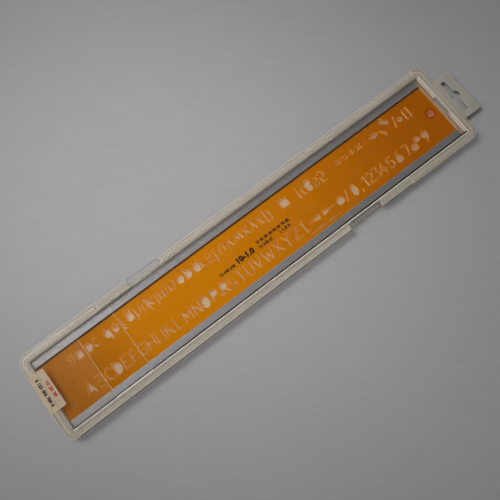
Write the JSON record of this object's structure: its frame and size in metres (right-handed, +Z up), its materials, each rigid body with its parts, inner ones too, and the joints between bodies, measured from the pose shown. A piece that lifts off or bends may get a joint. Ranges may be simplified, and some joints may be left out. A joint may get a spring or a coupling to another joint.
{
  "type": "lettering stencil",
  "caption": "Translucent lettering stencil plate with H-section edge rails, in a flat clear two-shell case with a hang tab and a lift-off lid.",
  "frame": {"origin": "middle of the tray's underside, the face the closed case lies on", "axes": "+X along the case towards the hang tab, +Y towards the long side with the small letters, +Z up through the lid's window"},
  "size_m": [0.414, 0.076, 0.0102],
  "materials": {
    "case_clear": "clear hard plastic, slightly yellowed",
    "lid_clear": "clear hard plastic, slightly yellowed",
    "tab_frosted": "frosted",
    "plate_orange": "translucent orange, polished",
    "rail_anodised": "satin anodised",
    "label_paper": "coated paper, yellowed"
  },
  "bodies": {
    "tray": {"case_base": "case_clear", "hang_tab": "tab_frosted"},
    "lid": {"case_lid": "lid_clear", "label": "label_paper"},
    "stencil": {"stencil_plate": "plate_orange", "upper_rail": "rail_anodised", "lower_rail": "rail_anodised"}
  },
  "joints": [
    {"name": "lid_lift", "type": "slide", "parent": "tray", "child": "lid", "axis": [0, 0, 1], "range_m": [0, 0.06]},
    {"name": "stencil_lift", "type": "slide", "parent": "tray", "child": "stencil", "axis": [0, 0, 1], "range_m": [0, 0.03]}
  ],
  "couplings": [
    {"joint": "stencil_lift", "follows": "lid_lift", "ratio": 0.5}
  ]
}
